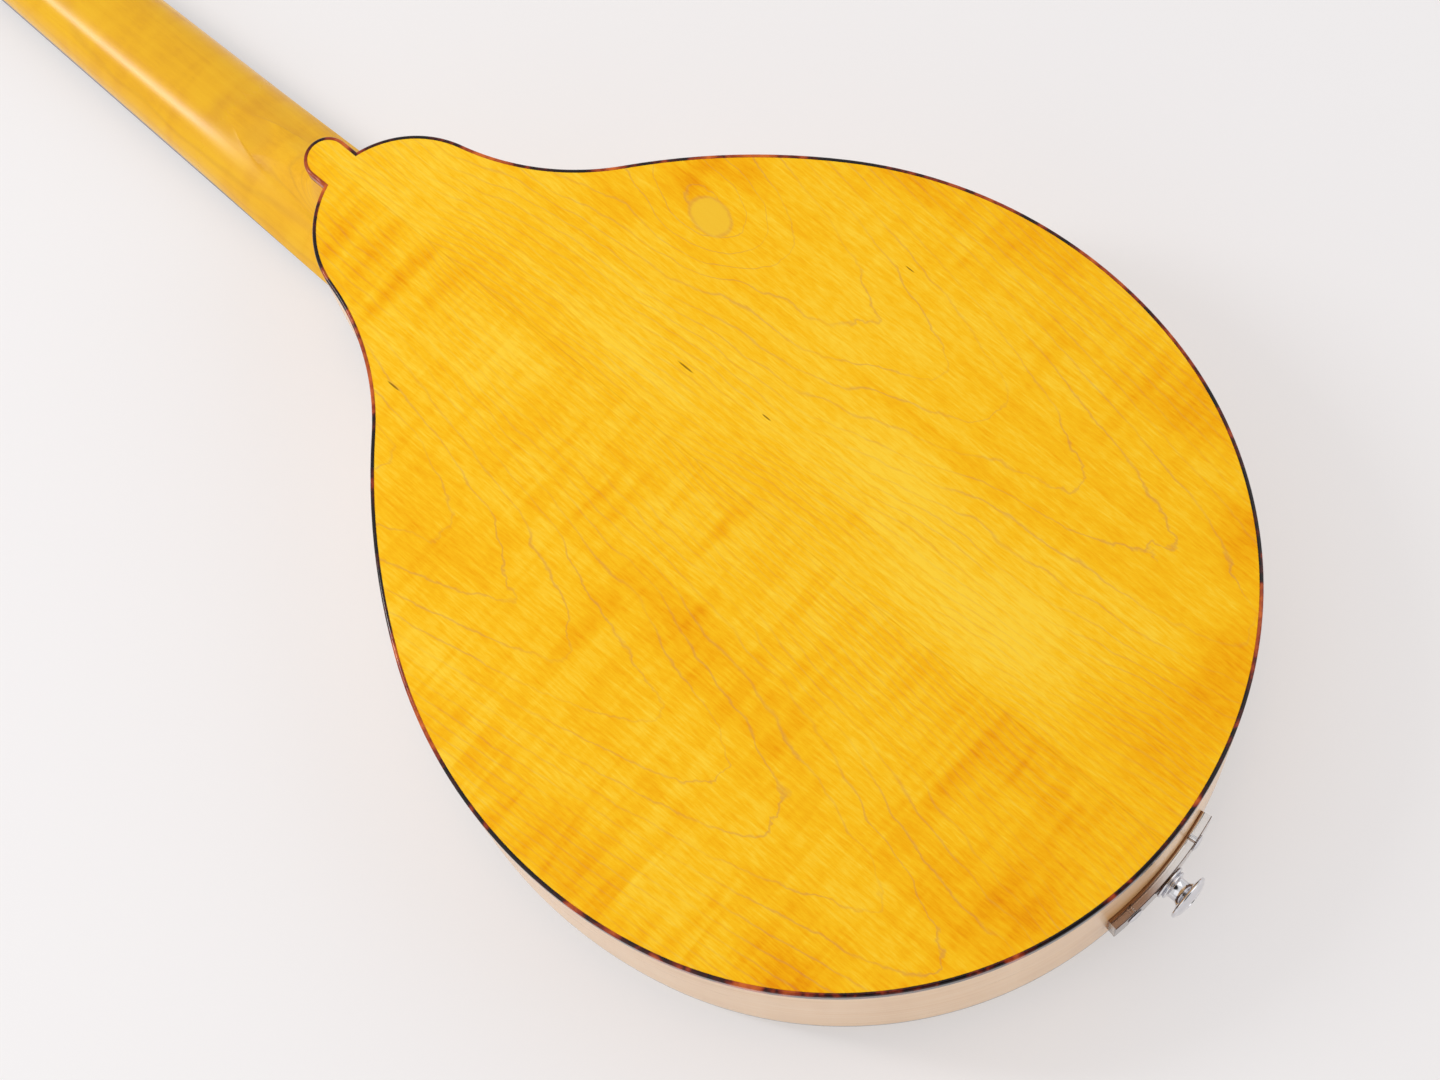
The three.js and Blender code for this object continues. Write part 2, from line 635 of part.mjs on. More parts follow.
// A strip bent round the tail, from one distance off the body to another.
function bentStrip(near, far) {
  const halfAngle = TAIL_PLATE_LENGTH / 2 / TAIL_RADIUS;
  const steps = 8;
  const arc = (radius) => Array.from({ length: steps + 1 }, (_, i) => {
    const angle = halfAngle * ((2 * i) / steps - 1);
    return new THREE.Vector2(radius * Math.sin(angle), TAIL_RADIUS - radius * Math.cos(angle));
  });
  const shape = new THREE.Shape([...arc(TAIL_RADIUS + far), ...arc(TAIL_RADIUS + near).reverse()]);
  return slab(shape, BUTTON_Z - TAIL_PLATE_HEIGHT / 2, BUTTON_Z + TAIL_PLATE_HEIGHT / 2);
}

const PLATE_FACE = TAIL_SHIM_THICKNESS + TAIL_PLATE_THICKNESS;

// Turned pieces at the tail point outwards along a radius of the tail's arc, starting on the plate's face.
function atTail(geometry, angle) {
  return geometry
    .rotateX(Math.PI)
    .translate(0, -TAIL_RADIUS - PLATE_FACE - GAP, 0)
    .rotateZ(angle)
    .translate(0, TAIL_RADIUS, BUTTON_Z);
}

// Two stacked flanges, a thick stem that flares out into a wide head, and a bore with a recess for the screw.
function strapButton() {
  const bore = STRAP_SCREW_RADIUS + GAP;
  return turned([
    [bore, 0], [7.9, 0], [7.9, 1.6], [6.9, 1.8], [6.9, 3.2], [5, 3.6],
    [5, 6.6], [6, 8.6], [8, 9.4], [10.2, 9.9], [10.6, 10.8],
    [10.2, 12], [8.4, STRAP_BUTTON_LENGTH], [4.2, STRAP_BUTTON_LENGTH], [4, STRAP_BUTTON_LENGTH - 1.6],
    [bore, 9.6], [bore, 0],
  ], 20);
}

function strapScrew() {
  const seat = STRAP_BUTTON_LENGTH - 1.6;
  return turned([
    [0, -24], [STRAP_SCREW_RADIUS, -20], [STRAP_SCREW_RADIUS, 9.7], [3.7, seat + 0.2], [2.6, seat + 1.2],
    [0, seat + 1.5],
  ], 12);
}

const tailScrew = () =>
  turned([[0, -15], [TAIL_SCREW_RADIUS, -12], [TAIL_SCREW_RADIUS, 0], [4, 0], [3.4, 0.8], [0, 1.3]], 12);

function addTailFittings() {
  add('tail_shim', cut(bentStrip(GAP, TAIL_SHIM_THICKNESS), ...tailHoles()), DARK_WOOD);
  add('tail_plate', cut(bentStrip(TAIL_SHIM_THICKNESS + GAP, PLATE_FACE), ...tailHoles()), CLEAR_PLASTIC);
  add('strap_button', atTail(strapButton(), 0), CHROME);
  add('strap_screw', atTail(strapScrew(), 0), CHROME);
  add('tail_screw_bass', atTail(tailScrew(), TAIL_SCREW_ANGLE), CHROME);
  add('tail_screw_treble', atTail(tailScrew(), -TAIL_SCREW_ANGLE), CHROME);
}

// ---------------------------------------------------------------- the whole oud

addShell();
addBlocks();
addLinings();
addBraces('back_brace', [110, 220, 330], 10, PLATE_Z - 13, PLATE_Z - GAP);
addBraces('soundboard_brace', [60, 150, 252, 354], 6, BOARD_TOP_Z + GAP, BOARD_TOP_Z + 14);
addSoundboard();
addPickguard();
addBridge();
addNeck();
addFingerboard();
addNut();
addPegbox();
addPegs();
addStrings();
addTailFittings();

// The part's origin is the centre of the base of its box.
const box = new THREE.Box3().setFromObject(oud);
oud.position.y = -(box.min.y + box.max.y) / 2;

export default oud;
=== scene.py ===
"""The looks of a flat-backed oud that lies face down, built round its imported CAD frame.

Metres. +Z is up and out of the back, +Y runs from the tail to the neck, +X is the bass side.
Sizes are written in millimetres and multiplied by MM, and places come from the frame's boxes.
"""
import json
import math

import bmesh
import bpy
from mathutils import Matrix, Quaternion, Vector


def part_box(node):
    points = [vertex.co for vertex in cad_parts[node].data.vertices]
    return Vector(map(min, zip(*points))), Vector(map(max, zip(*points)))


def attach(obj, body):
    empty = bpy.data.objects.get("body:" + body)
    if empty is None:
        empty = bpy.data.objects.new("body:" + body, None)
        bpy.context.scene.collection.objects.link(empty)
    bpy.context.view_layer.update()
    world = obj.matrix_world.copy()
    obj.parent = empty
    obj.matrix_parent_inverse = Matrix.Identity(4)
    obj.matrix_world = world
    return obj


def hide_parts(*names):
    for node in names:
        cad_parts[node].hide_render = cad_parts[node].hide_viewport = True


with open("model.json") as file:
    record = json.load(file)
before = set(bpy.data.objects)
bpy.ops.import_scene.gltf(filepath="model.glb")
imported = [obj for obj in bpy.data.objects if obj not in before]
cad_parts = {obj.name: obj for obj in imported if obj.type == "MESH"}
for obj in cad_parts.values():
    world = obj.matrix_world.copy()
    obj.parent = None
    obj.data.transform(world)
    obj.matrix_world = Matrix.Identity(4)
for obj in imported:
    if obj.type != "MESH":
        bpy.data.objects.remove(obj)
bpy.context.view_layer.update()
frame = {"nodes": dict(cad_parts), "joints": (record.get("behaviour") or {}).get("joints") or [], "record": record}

MM = 0.001
BODY = "oud"

# ------------------------------------------------------------------ levels and places, from the frame

TAIL_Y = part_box("back_binding")[0].y
BACK_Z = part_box("back_plate")[1].z
PLATE_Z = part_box("back_plate")[0].z
BACK_BINDING_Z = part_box("back_binding")[0].z
FRONT_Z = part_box("front_binding")[0].z
FRONT_BINDING_TOP_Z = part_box("front_binding")[1].z
NUT_LOW, NUT_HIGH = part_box("nut")
NECK_END_Y = NUT_HIGH.y + 1 * MM

# ------------------------------------------------------------------ the outline, as in the CAD model

OUTLINE_ARCS = [(174, 74.5), (205, 47.5), (311, 18), (-115, 36.3), (46.6, 90)]
ARC_STEP = 1.5
TAB_RADIUS = 10.5 * MM
TAB_CENTRE_Y = 466.5 * MM
# The neck's heel starts at the tab's end and curves down to the neck over this length.
HEEL_TIP_Y = TAB_CENTRE_Y + TAB_RADIUS
HEEL_COVE = 66 * MM
BINDING_WIDTH = 1.7 * MM
SIDE_THICKNESS = 2.4 * MM
GAP = 0.1 * MM


def bass_edge(inset, stop_x=0.0):
    """The bass half of the outline, moved inwards by inset, from the tail to where x falls to stop_x."""
    points = []
    x, y, heading = 0.0, 0.0, 0.0
    for index, (radius_mm, turn) in enumerate(OUTLINE_ARCS):
        radius = radius_mm * MM
        reach = radius - inset
        centre_x = x - radius * math.sin(heading)
        centre_y = y + radius * math.cos(heading)
        is_last = index == len(OUTLINE_ARCS) - 1
        if is_last:
            end = math.pi - math.asin((stop_x - centre_x) / reach)
        else:
            end = heading + math.copysign(math.radians(turn), radius)
        steps = math.ceil(turn / ARC_STEP)
        for i in range(steps + is_last):
            angle = heading + (end - heading) * i / steps
            points.append((centre_x + reach * math.sin(angle), centre_y - reach * math.cos(angle)))
        x = centre_x + radius * math.sin(end)
        y = centre_y - radius * math.cos(end)
        heading = end
    return points


def mirrored(bass_half):
    """A closed outline from its bass half, which starts and ends on the centre line."""
    return bass_half + [(-x, y) for x, y in reversed(bass_half[1:-1])]


def body_outline(inset):
    return mirrored(bass_edge(inset))


def back_outline(inset):
    """The back's outline, with the round-ended tab over the neck's heel."""
    radius = TAB_RADIUS - inset
    steps = 24
    edge = bass_edge(inset, radius)
    for i in range(steps + 1):
        angle = math.pi / 2 * i / steps
        edge.append((radius * math.cos(angle), TAB_CENTRE_Y + radius * math.sin(angle)))
    return mirrored(edge)


def at_level(outline, z):
    """An outline's points, in the row frame, at one level."""
    return [(x, y + TAIL_Y, z) for x, y in outline]


# ------------------------------------------------------------------ making meshes


def make(name, rings, material, replaces=(), body=BODY, closed=False, sharp=35):
    """A closed mesh skinned over rings of points, which ends in two flat caps or, if closed, in itself."""
    count = len(rings[0])
    points = [p for ring in rings for p in ring]
    spans = len(rings) if closed else len(rings) - 1
    faces = []
    for k in range(spans):
        a, b = k * count, ((k + 1) % len(rings)) * count
        faces += [(a + i, a + (i + 1) % count, b + (i + 1) % count, b + i) for i in range(count)]
    if not closed:
        faces.append(tuple(range(count)))
        faces.append(tuple(range((len(rings) - 1) * count, len(rings) * count)))
    mesh = bpy.data.meshes.new(name)
    mesh.from_pydata([Vector(p) for p in points], [], faces)
    return finish_piece(mesh, name, material, replaces, body, sharp)


def finish_piece(mesh, name, material, replaces, body, sharp):
    """Turns a mesh's faces outwards, smooths it between its sharp edges and puts it on its body."""
    shape = bmesh.new()
    shape.from_mesh(mesh)
    bmesh.ops.remove_doubles(shape, verts=shape.verts, dist=1e-7)
    bmesh.ops.recalc_face_normals(shape, faces=shape.faces)
    shape.to_mesh(mesh)
    shape.free()
    mesh.shade_smooth()
    mesh.set_sharp_from_angle(angle=math.radians(sharp))
    mesh.materials.append(material)
    piece = bpy.data.objects.new(name, mesh)
    bpy.context.scene.collection.objects.link(piece)
    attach(piece, body)
    if replaces:
        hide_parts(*replaces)
    return piece


def turned_rings(profile, sides):
    """Rings for a form turned about +X, from (distance along the axis, radius) pairs."""
    rings = []
    for along, radius in profile:
        turns = [2 * math.pi * i / sides for i in range(sides)]
        rings.append([Vector((along, radius * math.cos(a), radius * math.sin(a))) for a in turns])
    return rings


def placed(rings, matrix):
    return [[matrix @ Vector(p) for p in ring] for ring in rings]


def arc(centre_along, centre_radius, radius, start, end, steps=8):
    """Points of a round moulding in a profile, by angles in degrees from the axis direction."""
    angles = [math.radians(start + (end - start) * i / steps) for i in range(steps + 1)]
    return [(centre_along + radius * math.cos(a), centre_radius + radius * math.sin(a)) for a in angles]


# ------------------------------------------------------------------ node materials


def srgb(red, green, blue):
    """A colour given as 0 to 255 values on a screen, in the linear light that shaders use."""
    def linear(value):
        share = value / 255
        return share / 12.92 if share <= 0.04045 else ((share + 0.055) / 1.055) ** 2.4
    return (linear(red), linear(green), linear(blue), 1.0)


class Look:
    """A Principled material whose nodes are added by name; a value is a number, a colour or a socket."""

    def __init__(self, name, **constants):
        self.material = bpy.data.materials.new(name)
        self.material.use_nodes = True
        self.tree = self.material.node_tree
        self.shader = self.tree.nodes["Principled BSDF"]
        for socket, value in constants.items():
            self.shader.inputs[socket.replace("_", " ").title().replace("Ior", "IOR")].default_value = value
        coordinates = self.tree.nodes.new("ShaderNodeTexCoord")
        self.place = coordinates.outputs["Object"]

    def put(self, socket, value):
        if isinstance(value, bpy.types.NodeSocket):
            self.tree.links.new(value, socket)
        else:
            socket.default_value = value

    def node(self, kind, values, output=0, **settings):
        node = self.tree.nodes.new(kind)
        for name, value in settings.items():
            setattr(node, name, value)
        for key, value in values.items():
            self.put(node.inputs[key], value)
        return node.outputs[output]

    def math(self, operation, a, b=0.0, c=0.0):
        return self.node("ShaderNodeMath", {0: a, 1: b, 2: c}, operation=operation)

    def split(self, vector):
        node = self.tree.nodes.new("ShaderNodeSeparateXYZ")
        self.put(node.inputs[0], vector)
        return node.outputs

    def stretch(self, scale):
        """Coordinates with so many units to the metre along each axis."""
        return self.node("ShaderNodeVectorMath", {0: self.place, 1: scale}, operation="MULTIPLY")

    def noise(self, vector, detail=2.0, roughness=0.5, distortion=0.0):
        values = {"Vector": vector, "Scale": 1.0, "Detail": detail, "Roughness": roughness,
                  "Distortion": distortion}
        return self.node("ShaderNodeTexNoise", values)

    def map(self, value, low, high, to_low=0.0, to_high=1.0):
        values = {"Value": value, "From Min": low, "From Max": high, "To Min": to_low, "To Max": to_high}
        return self.node("ShaderNodeMapRange", values, clamp=True, interpolation_type="SMOOTHSTEP")

    def ramp(self, value, stops):
        node = self.tree.nodes.new("ShaderNodeValToRGB")
        self.put(node.inputs[0], value)
        elements = node.color_ramp.elements
        while len(elements) < len(stops):
            elements.new(0.5)
        for element, (position, colour) in zip(elements, stops):
            element.position = position
            element.color = colour
        return node.outputs[0]

    def mix(self, share, a, b, blend="MIX"):
        node = self.tree.nodes.new("ShaderNodeMix")
        node.data_type = "RGBA"
        node.blend_type = blend
        for index, value in ((0, share), (6, a), (7, b)):
            self.put(node.inputs[index], value)
        return node.outputs[2]

    def bump(self, height, strength, distance):
        values = {"Height": height, "Strength": strength, "Distance": distance}
        self.put(self.shader.inputs["Normal"], self.node("ShaderNodeBump", values))

    def colour(self, value):
        self.put(self.shader.inputs["Base Color"], value)

    def roughness(self, value):
        self.put(self.shader.inputs["Roughness"], value)


# The back: two book-matched leaves of maple, stained amber. Places are millimetres from the centre
# line and from the tail.
AMBER_LIGHT = srgb(255, 209, 58)
AMBER = srgb(252, 192, 24)
AMBER_DEEP = srgb(246, 172, 6)
AMBER_DARK = srgb(234, 145, 1)
RING_LINE = srgb(184, 122, 88)

# Soft patches of deeper (above 0) or paler (below 0) stain: (x, y, half width, half length, strength).
STAIN_PATCHES = [
    (-58, 220, 19, 46, 0.36), (-60, 160, 20, 70, 0.22), (-74, 352, 18, 34, 0.26), (-92, 306, 42, 34, 0.18),
    (-158, 190, 24, 70, 0.34), (-140, 76, 26, 34, 0.34), (-56, 28, 30, 26, 0.34), (-118, 180, 46, 60, 0.06),
    (158, 262, 22, 40, 0.30), (166, 196, 18, 50, 0.30), (150, 104, 26, 34, 0.40), (64, 26, 42, 24, 0.42),
    (122, 56, 24, 24, 0.40), (100, 338, 26, 16, 0.55), (112, 322, 16, 18, 0.40), (66, 356, 14, 20, 0.30),
    (48, 176, 24, 60, -0.30), (24, 108, 28, 90, -0.34), (62, 92, 30, 70, -0.12), (-21, 352, 26, 46, -0.34),
    (18, 308, 22, 60, -0.20), (-70, 108, 34, 60, -0.10), (86, 236, 40, 60, -0.04),
]
# Single flames across the grain of the treble leaf, in the same terms.
FLAMES = [
    (-22, 402, 36, 7, 0.50), (-20, 420, 36, 8, 0.32), (-24, 438, 30, 7, 0.34), (-12, 386, 26, 5, 0.30),
    (-26, 262, 30, 4, 0.26), (-34, 272, 30, 4, 0.22), (-14, 223, 26, 5, 0.42), (-84, 238, 30, 6, 0.24),
    (-30, 82, 44, 6, 0.26), (-12, 66, 22, 4, 0.32), (-16, 36, 22, 5, 0.36), (-50, 204, 20, 6, 0.22),
    (140, 128, 36, 6, 0.20), (130, 168, 40, 5, 0.16), (-150, 152, 26, 5, -0.24), (140, 150, 34, 5, -0.20),
]
DARK_FLECKS = [(-58, 372, 0.6, 5), (28, 282, 0.6, 6), (33, 241, 0.5, 3.5), (122, 238, 0.4, 3.5)]
KNOT = (86, 321, 9.5, 13.5)
CATHEDRAL_X = 94


def patch(look, x, y, centre_x, centre_y, half_width, half_length):
    """1 at the middle of a soft oval, 0 at its rim."""
    across = look.math("MULTIPLY", look.math("SUBTRACT", x, centre_x), 1 / half_width)
    along = look.math("MULTIPLY", look.math("SUBTRACT", y, centre_y), 1 / half_length)
    squares = look.math("MULTIPLY_ADD", across, across, look.math("MULTIPLY", along, along))
    return look.map(look.math("SQRT", squares), 0.0, 1.0, 1.0, 0.0)


def add_patches(look, total, patches, x, y):
    for *shape, strength in patches:
        total = look.math("MULTIPLY_ADD", patch(look, x, y, *shape), strength, total)
    return total


def centred(look, noise, width, base=0.0):
    """A noise value spread to so much on both sides of a base value."""
    return look.math("MULTIPLY_ADD", look.math("SUBTRACT", noise, 0.5), width, base)


def growth_rings(look, x, y, fold, slow, quick):
    """Thin lines: upright and close near the seam, and in nested tongues that point to the tail beyond."""
    axis = centred(look, slow, 16, CATHEDRAL_X)
    from_axis = look.math("SUBTRACT", fold, axis)
    wobble = look.math("ADD", centred(look, quick, 0.42), centred(look, slow, 2.4))
    arms = look.math("MULTIPLY", look.math("MULTIPLY", from_axis, from_axis), 1 / 540)
    rings = look.math("ADD", look.math("MULTIPLY_ADD", y, -1 / 40, arms), wobble)
    rings = look.math("MULTIPLY_ADD", patch(look, x, y, KNOT[0], KNOT[1], 32, 46), -2.6, rings)
    near_line = look.math("PINGPONG", rings, 0.5)
    width = look.math("MULTIPLY_ADD", look.math("ABSOLUTE", from_axis), 0.17 / CATHEDRAL_X, 0.022)
    line = look.math("MAXIMUM", look.math("SUBTRACT", 1.0, look.math("DIVIDE", near_line, width)), 0.0)
    faded = look.map(look.noise(look.stretch((34, 20, 1)), detail=2), 0.34, 0.62, 0.3, 1.0)
    near_axis = look.map(look.math("ABSOLUTE", from_axis), 25, 70, 1.0, 0.5)
    return look.math("MULTIPLY", line, look.math("MULTIPLY", faded, near_axis))


def stain(look, x, y, fold, slow, quick, streaks):
    """How deep the amber is: patches, flames across the grain and streaks along it."""
    bent_x = look.math("ADD", centred(look, slow, 22), centred(look, quick, 9, x))
    bent_y = centred(look, quick, 16, y)
    tone = look.math("MULTIPLY", add_patches(look, 0.0, STAIN_PATCHES, bent_x, bent_y), 0.8)
    tone = look.math("ADD", centred(look, slow, 0.5, 0.30), tone)
    waves = look.noise(look.stretch((34, 24, 1)), detail=3)
    flames = add_patches(look, 0.0, FLAMES, x, centred(look, waves, 11, y))
    tone = look.math("MULTIPLY_ADD", flames, 0.8, tone)
    # Weaker flames all over, stronger in the treble leaf and towards both edges.
    bands = look.noise(look.stretch((16, 120, 1)), detail=2, distortion=0.4)
    leaf = look.map(x, -1, 1, 1.0, 0.4)
    rim = look.map(fold, 100, 165, 0.0, 0.6)
    curl = look.math("MULTIPLY", look.map(bands, 0.36, 0.68, -0.5, 0.5), look.math("ADD", leaf, rim))
    tone = look.math("MULTIPLY_ADD", curl, 0.17, tone)
    # The bass leaf is a little paler, which shows as a step along the seam.
    tone = look.math("ADD", tone, look.map(x, -0.4, 0.4, 0.08, -0.05))
    tone = look.math("MULTIPLY_ADD", x, 0.07 / 170, tone)
    broad = look.noise(look.stretch((120, 5, 1)), detail=2)
    tone = look.math("ADD", centred(look, broad, 0.5), tone)
    tone = look.math("ADD", tone, look.map(y, 10, 170, 0.15, 0.0))
    return look.math("ADD", centred(look, streaks, 0.6), tone)


def back_maple():
    look = Look("back_maple", specular_ior_level=0.07)
    millimetres = look.node(
        "ShaderNodeVectorMath", {0: look.place, 1: (1000, 1000, 1000), 2: (0, -1000 * TAIL_Y, 0)},
        operation="MULTIPLY_ADD")
    x, y, _ = look.split(millimetres)
    fold = look.math("ABSOLUTE", x)
    slow = look.noise(look.stretch((17, 10, 1)), detail=3)
    quick = look.noise(look.stretch((120, 75, 1)), detail=3, roughness=0.6)
    streaks = look.noise(look.stretch((460, 10, 1)), detail=3, roughness=0.65)
    line = growth_rings(look, x, y, fold, slow, quick)
    tone = stain(look, x, y, fold, slow, quick, streaks)
    # A fine speckle of pores, short along the grain.
    pores = look.noise(look.stretch((1000, 130, 1)), detail=2, roughness=0.6)
    tone = look.math("ADD", centred(look, pores, 0.85), tone)

    amber = look.ramp(tone, [(0.0, AMBER_LIGHT), (0.34, AMBER), (0.68, AMBER_DEEP), (1.0, AMBER_DARK)])
    knot_x = centred(look, quick, 5, x)
    knot_y = centred(look, slow, 12, y)
    knot = patch(look, knot_x, knot_y, *KNOT)
    amber = look.mix(look.map(knot, 0.02, 0.12, 0.0, 0.26), amber, srgb(176, 128, 96))
    amber = look.mix(look.map(knot, 0.12, 0.28, 0.0, 0.85), amber, srgb(247, 196, 48))
    line = look.math("MULTIPLY", line, look.map(knot, 0.04, 0.12, 0.38, 0.0))
    amber = look.mix(line, amber, RING_LINE)
    for fleck in DARK_FLECKS:
        mark = look.map(patch(look, x, y, *fleck), 0.0, 0.6, 0.0, 0.75)
        amber = look.mix(mark, amber, srgb(96, 56, 14))
    look.colour(look.mix(look.map(fold, 0.1, 0.4, 0.2, 0.0), amber, srgb(196, 132, 20)))
    look.roughness(look.map(streaks, 0.2, 0.8, 0.30, 0.42))
    look.bump(look.math("ADD", pores, line), 0.08, 0.05 * MM)
    return look.material


def neck_maple():
    look = Look("neck_maple", specular_ior_level=0.36)
    slow = look.noise(look.stretch((14, 6, 14)), detail=3)
    # The log's rings run along the neck, round a centre below the fingerboard.
    x, y, z = look.split(look.place)
    low_z = look.math("ADD", z, 0.02)
    depth = look.math("SQRT", look.math("MULTIPLY_ADD", x, x, look.math("MULTIPLY", low_z, low_z)))
    rings = look.math("MULTIPLY_ADD", depth, 190, look.math("MULTIPLY", slow, 5))
    line = look.map(look.math("PINGPONG", rings, 0.5), 0.0, 0.20, 1.0, 0.0)
    bands = look.noise(look.stretch((18, 60, 18)), detail=2, distortion=0.7)
    streaks = look.noise(look.stretch((420, 10, 420)), detail=3, roughness=0.65)
    pores = look.noise(look.stretch((1500, 260, 1500)), detail=2, roughness=0.6)
    tone = centred(look, streaks, 0.5, 0.28)
    tone = look.math("ADD", tone, centred(look, pores, 0.3))
    tone = look.math("MULTIPLY_ADD", look.map(bands, 0.35, 0.7), 0.22, tone)
    tone = look.math("ADD", centred(look, slow, 0.5), tone)
    stops = [(0.0, srgb(245, 193, 26)), (0.45, srgb(236, 176, 10)), (1.0, srgb(212, 142, 4))]
    amber = look.mix(look.math("MULTIPLY", line, 0.16), look.ramp(tone, stops), srgb(180, 112, 50))
    look.colour(amber)
    # The polish is bright along the neck and dull on the heel's curve.
    heel_y = TAIL_Y + HEEL_TIP_Y
    dull = look.map(y, heel_y + 0.2 * HEEL_COVE, heel_y + 1.3 * HEEL_COVE, 0.6, 0.23)
    look.roughness(centred(look, streaks, 0.06, dull))
    look.bump(pores, 0.06, 0.05 * MM)
    return look.material


def side_maple():
    """Pale maple bent round the body: its grain runs level, and its flames stand upright."""
    look = Look("side_maple", coat_weight=0.4, coat_roughness=0.1)
    grain = look.noise(look.stretch((10, 10, 520)), detail=3, roughness=0.6)
    flames = look.noise(look.stretch((70, 70, 9)), detail=2, distortion=0.4)
    slow = look.noise(look.stretch((9, 9, 16)), detail=2)
    tone = look.math("MULTIPLY_ADD", grain, 0.45, look.math("MULTIPLY", slow, 0.3))
    tone = look.math("MULTIPLY_ADD", flames, 0.35, tone)
    stops = [(0.3, srgb(246, 204, 150)), (0.55, srgb(238, 190, 130)), (0.8, srgb(216, 162, 100))]
    look.colour(look.ramp(tone, stops))
    look.roughness(look.map(grain, 0.2, 0.8, 0.26, 0.38))
    look.bump(grain, 0.06, 0.05 * MM)
    return look.material


def tortoiseshell():
    look = Look("tortoiseshell", specular_ior_level=0.3)
    clouds = look.noise(look.stretch((30, 30, 30)), detail=3, roughness=0.65, distortion=0.4)
    flakes = look.noise(look.stretch((260, 260, 260)), detail=2)
    tone = centred(look, flakes, 0.26, clouds)
    stops = [(0.43, srgb(16, 8, 10)), (0.49, srgb(66, 16, 11)), (0.54, srgb(140, 46, 17))]
    stops += [(0.66, srgb(204, 98, 32))]
    look.colour(look.ramp(tone, stops))
    look.roughness(look.map(flakes, 0.3, 0.7, 0.10, 0.18))
    return look.material


def plain_wood(name, light, dark, along, fine=520, gloss=0.5, rings=0.0, coat=0.0):
    """Straight-grained wood whose grain runs along one axis: 0 for x, 1 for y or 2 for z."""
    look = Look(name, coat_weight=coat, coat_roughness=0.15)
    fine_scale = [fine] * 3
    fine_scale[along] = fine / 40
    slow_scale = [60] * 3
    slow_scale[along] = 6
    grain = look.noise(look.stretch(tuple(fine_scale)), detail=3, roughness=0.65)
    slow = look.noise(look.stretch(tuple(slow_scale)), detail=2)
    tone = look.math("MULTIPLY_ADD", grain, 0.6, look.math("MULTIPLY", slow, 0.4))
    if rings:
        across = look.split(look.place)[0 if along else 1]
        lines = look.math("PINGPONG", look.math("MULTIPLY_ADD", across, rings, slow), 0.5)
        tone = look.math("MULTIPLY_ADD", look.map(lines, 0.0, 0.35, 1.0, 0.0), 0.35, tone)
    look.colour(look.ramp(tone, [(0.35, light), (0.75, dark)]))
    look.roughness(look.map(grain, 0.2, 0.8, gloss - 0.06, gloss + 0.06))
    look.bump(grain, 0.12, 0.08 * MM)
    return look.material


def chrome():
    look = Look("chrome", metallic=1.0)
    smears = look.noise(look.stretch((160, 160, 160)), detail=3)
    look.colour(look.ramp(smears, [(0.3, srgb(226, 226, 230)), (0.7, srgb(214, 214, 218))]))
    look.roughness(look.map(smears, 0.35, 0.7, 0.03, 0.09))
    return look.material


def clear_acrylic():
    look = Look("clear_acrylic", transmission_weight=1.0, ior=1.49)
    smears = look.noise(look.stretch((90, 90, 90)), detail=3)
    clear = look.ramp(smears, [(0.3, srgb(252, 250, 247)), (0.7, srgb(246, 243, 239))])
    # Painted refraction: the clear plate's treble half is tinted brown, painting the brown shim as it shows
    # through the plate at one viewing angle.
    x = look.split(look.place)[0]
    look.colour(look.mix(look.map(x, -14 * MM, 8 * MM, 0.9, 0.0), clear, srgb(150, 100, 56)))
    look.roughness(look.map(smears, 0.4, 0.8, 0.01, 0.05))
    return look.material


def bone():
    look = Look("bone", subsurface_weight=0.15, coat_weight=0.3)
    look.shader.inputs["Subsurface Scale"].default_value = 1 * MM
    streaks = look.noise(look.stretch((60, 420, 420)), detail=3)
    look.colour(look.ramp(streaks, [(0.35, srgb(242, 234, 214)), (0.75, srgb(222, 208, 178))]))
    look.roughness(look.map(streaks, 0.2, 0.8, 0.22, 0.34))
    look.bump(streaks, 0.05, 0.05 * MM)
    return look.material


def black_plastic():
    look = Look("black_binding", coat_weight=0.4, coat_roughness=0.06)
    clouds = look.noise(look.stretch((120, 120, 120)), detail=3)
    look.colour(look.ramp(clouds, [(0.3, srgb(16, 14, 15)), (0.8, srgb(34, 29, 28))]))
    look.roughness(look.map(clouds, 0.3, 0.7, 0.14, 0.24))
    return look.material


def plain_string():
    look = Look("plain_string", transmission_weight=0.25, ior=1.53)
    clouds = look.noise(look.stretch((300, 60, 300)), detail=2)
    look.colour(look.ramp(clouds, [(0.3, srgb(240, 234, 216)), (0.7, srgb(226, 218, 196))]))
    look.roughness(look.map(clouds, 0.3, 0.7, 0.20, 0.30))
    return look.material


def wound_string():
    """Fine wire wound round a core: its turns follow each other along the string."""
    look = Look("wound_string", metallic=1.0)
    _, y, z = look.split(look.place)
    turns_per_metre = 3300
    along = look.math("MULTIPLY", look.math("ADD", y, z), turns_per_metre)
    turns = look.math("PINGPONG", along, 0.5)
    # The colour darkens where neighbouring turns meet: painted shade in the grooves between the turns of wire.
    look.colour(look.ramp(turns, [(0.0, srgb(120, 116, 110)), (0.35, srgb(206, 202, 194))]))
    look.roughness(look.map(turns, 0.0, 0.5, 0.45, 0.28))
    look.bump(turns, 0.6, 0.06 * MM)
    return look.material


